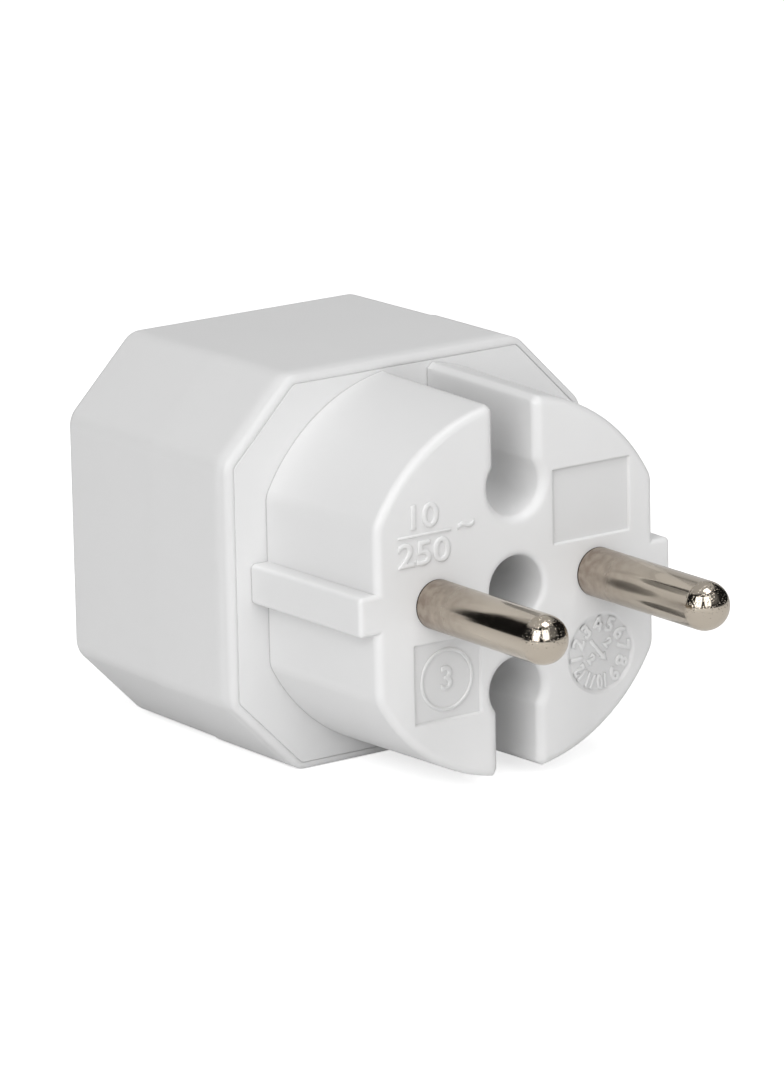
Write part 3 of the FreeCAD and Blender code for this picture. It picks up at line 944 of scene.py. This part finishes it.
def light_world():
    """White where the camera sees it, and an even light for everything else."""
    world = bpy.data.worlds.new("studio_world")
    bpy.context.scene.world = world
    world.use_nodes = True
    tree = world.node_tree
    tree.nodes.clear()
    path = add_node(tree, "ShaderNodeLightPath")
    strength = add_node(
        tree, "ShaderNodeMix", {"data_type": "FLOAT"},
        {"A": bpy.context.scene.adapter_studio.ambient, "B": 1.0},
        {"Factor": path.outputs["Is Camera Ray"]},
    )
    back = add_node(tree, "ShaderNodeBackground", links={"Strength": strength.outputs["Result"]})
    add_node(tree, "ShaderNodeOutputWorld", links={"Surface": back.outputs["Background"]})


def bearing(azimuth, elevation):
    """Unit vector away from the adapter at an azimuth (0 in front, rising to the right) and elevation."""
    turn, rise = math.radians(azimuth), math.radians(elevation)
    return Vector((math.sin(turn) * math.cos(rise), -math.cos(turn) * math.cos(rise), math.sin(rise)))


def softbox(name, azimuth, elevation, width, height, power):
    """Rectangular area light that faces the middle of the adapter."""
    distance = 0.8
    middle = Vector((0, 0, AXIS_Z))
    data = bpy.data.lights.new(name, "AREA")
    data.shape = "RECTANGLE"
    data.size = width
    data.size_y = height
    data.energy = power
    lamp = bpy.data.objects.new(name, data)
    bpy.context.scene.collection.objects.link(lamp)
    lamp.location = middle + bearing(azimuth, elevation) * distance
    aim = middle - lamp.location
    lamp.rotation_euler = aim.to_track_quat("-Z", "Y").to_euler()


def dark_room():
    """Room above the table, seen only in reflections: dark walls with the lighter parts the pins show."""
    room_radius = 1.6
    wall_strength = 0.01
    # The room is lighter over the adapter, behind it to the right, and beside the right softbox. Azimuth
    # and elevation of each part, cosines from its direction at which it begins and is full, and strength
    patches = (
        (165, 75, 0.72, 0.81, 0.55),
        (140, 12, 0.85, 0.95, 0.6),
        (12, 40, 0.82, 0.97, 0.2),
    )
    deselect_all()
    bpy.ops.mesh.primitive_uv_sphere_add(segments=32, ring_count=16, radius=room_radius)
    room = bpy.context.object
    room.name = "dark_room"
    bpy.ops.object.mode_set(mode="EDIT")
    bpy.ops.mesh.select_all(action="SELECT")
    bpy.ops.mesh.bisect(plane_co=(0, 0, 0), plane_no=(0, 0, 1), clear_inner=True)
    bpy.ops.object.mode_set(mode="OBJECT")
    material, output = new_material("room_walls")
    tree = material.node_tree
    place = add_node(tree, "ShaderNodeTexCoord").outputs["Object"]
    direction = add_node(tree, "ShaderNodeVectorMath", {"operation": "NORMALIZE"}, links={0: place})
    tones = []
    for azimuth, elevation, start, full, strength in patches:
        towards = add_node(
            tree, "ShaderNodeVectorMath", {"operation": "DOT_PRODUCT"},
            {1: bearing(azimuth, elevation)}, {0: direction.outputs["Vector"]},
        )
        tones.append(add_node(
            tree, "ShaderNodeMapRange", {"interpolation_type": "SMOOTHSTEP"},
            {"From Min": start, "From Max": full, "To Min": wall_strength, "To Max": strength},
            {"Value": towards.outputs["Value"]},
        ))
    behind = add_node(
        tree, "ShaderNodeMath", {"operation": "MAXIMUM"},
        links={0: tones[0].outputs["Result"], 1: tones[1].outputs["Result"]},
    )
    tone = add_node(
        tree, "ShaderNodeMath", {"operation": "MAXIMUM"},
        links={0: behind.outputs["Value"], 1: tones[2].outputs["Result"]},
    )
    wall = add_node(tree, "ShaderNodeEmission", links={"Strength": tone.outputs["Value"]})
    material.cycles.emission_sampling = "NONE"
    room.data.materials.append(finish(material, output, wall.outputs["Emission"]))
    room.visible_camera = False
    room.visible_diffuse = False
    room.visible_transmission = False
    room.visible_shadow = False


def add_camera():
    """Camera at the photograph's angle, from the fitted angles and the pixel of the face's centre."""
    azimuth, roll = math.radians(VIEW_AZIMUTH), math.radians(VIEW_ROLL)
    back = bearing(VIEW_AZIMUTH, VIEW_ELEVATION)
    level = Vector((math.cos(azimuth), math.sin(azimuth), 0))
    upright = back.cross(level)
    right = level * math.cos(roll) + upright * math.sin(roll)
    up = upright * math.cos(roll) - level * math.sin(roll)
    pixel = VIEW_DISTANCE / FOCAL_LENGTH_PX
    aside = (FACE_CENTRE_PX[0] - PHOTO_SIZE[0] / 2) * pixel
    above = -(FACE_CENTRE_PX[1] - PHOTO_SIZE[1] / 2) * pixel
    place = Vector((0, FACE_Y, AXIS_Z)) + back * VIEW_DISTANCE - right * aside - up * above
    data = bpy.data.cameras.new("photo_camera")
    data.sensor_fit = "VERTICAL"
    data.sensor_height = SENSOR_HEIGHT_MM
    data.lens = FOCAL_LENGTH_PX / PHOTO_SIZE[1] * SENSOR_HEIGHT_MM
    data.clip_start = 0.01
    camera = bpy.data.objects.new("photo_camera", data)
    bpy.context.scene.collection.objects.link(camera)
    turn = Matrix((right, up, back)).transposed().to_4x4()
    camera.matrix_world = Matrix.Translation(place) @ turn
    bpy.context.scene.camera = camera


class ADAPTER_OT_studio(bpy.types.Operator):
    """Sets up the floor, the lights and the camera"""
    bl_idname = "adapter.studio"
    bl_label = "Studio"

    floor_radius = 3.0
    # Azimuth, elevation, width and height of each softbox
    softboxes = {
        "left": (-60, 26, 0.4, 0.65),
        "right": (-17, 28, 0.36, 0.6),
        "overhead": (15, 71, 0.26, 0.26),
    }

    def execute(self, context):
        deselect_all()
        bpy.ops.mesh.primitive_circle_add(vertices=96, radius=self.floor_radius, fill_type="NGON")
        floor = bpy.context.object
        floor.name = "studio_floor"
        floor.data.materials.append(floor_material())
        light_world()
        for side, place_and_size in self.softboxes.items():
            softbox(f"{side}_softbox", *place_and_size, getattr(context.scene.adapter_studio, side))
        dark_room()
        add_camera()
        context.scene.view_settings.view_transform = "Standard"
        return {"FINISHED"}


class ADAPTER_PT_panel(bpy.types.Panel):
    """Sidebar panel that lists the adapter's operators"""
    bl_idname = "ADAPTER_PT_panel"
    bl_label = "Plug adapter"
    bl_space_type = "VIEW_3D"
    bl_region_type = "UI"
    bl_category = "Adapter"

    def draw(self, context):
        for operator in OPERATORS:
            self.layout.operator(operator.bl_idname)


GROUPS = {
    "adapter_plastic": PlasticFinish,
    "adapter_pins": PinFinish,
    "adapter_marks": FaceMarks,
    "adapter_studio": StudioLight,
}
OPERATORS = (
    ADAPTER_OT_mouldings,
    ADAPTER_OT_pins,
    ADAPTER_OT_conductors,
    ADAPTER_OT_rating_figures,
    ADAPTER_OT_date_dial,
    ADAPTER_OT_cavity_mark,
    ADAPTER_OT_studio,
)


def register():
    for group in GROUPS.values():
        bpy.utils.register_class(group)
    for name, group in GROUPS.items():
        setattr(bpy.types.Scene, name, PointerProperty(type=group))
    for operator in OPERATORS:
        bpy.utils.register_class(operator)
    bpy.utils.register_class(ADAPTER_PT_panel)


def unregister():
    bpy.utils.unregister_class(ADAPTER_PT_panel)
    for operator in reversed(OPERATORS):
        bpy.utils.unregister_class(operator)
    for name in GROUPS:
        delattr(bpy.types.Scene, name)
    for group in reversed(list(GROUPS.values())):
        bpy.utils.unregister_class(group)


def main():
    register()
    bpy.ops.adapter.mouldings()
    bpy.ops.adapter.pins()
    bpy.ops.adapter.conductors()
    bpy.ops.adapter.rating_figures()
    bpy.ops.adapter.date_dial()
    bpy.ops.adapter.cavity_mark()
    bpy.ops.adapter.studio()


if __name__ == "__main__":
    main()
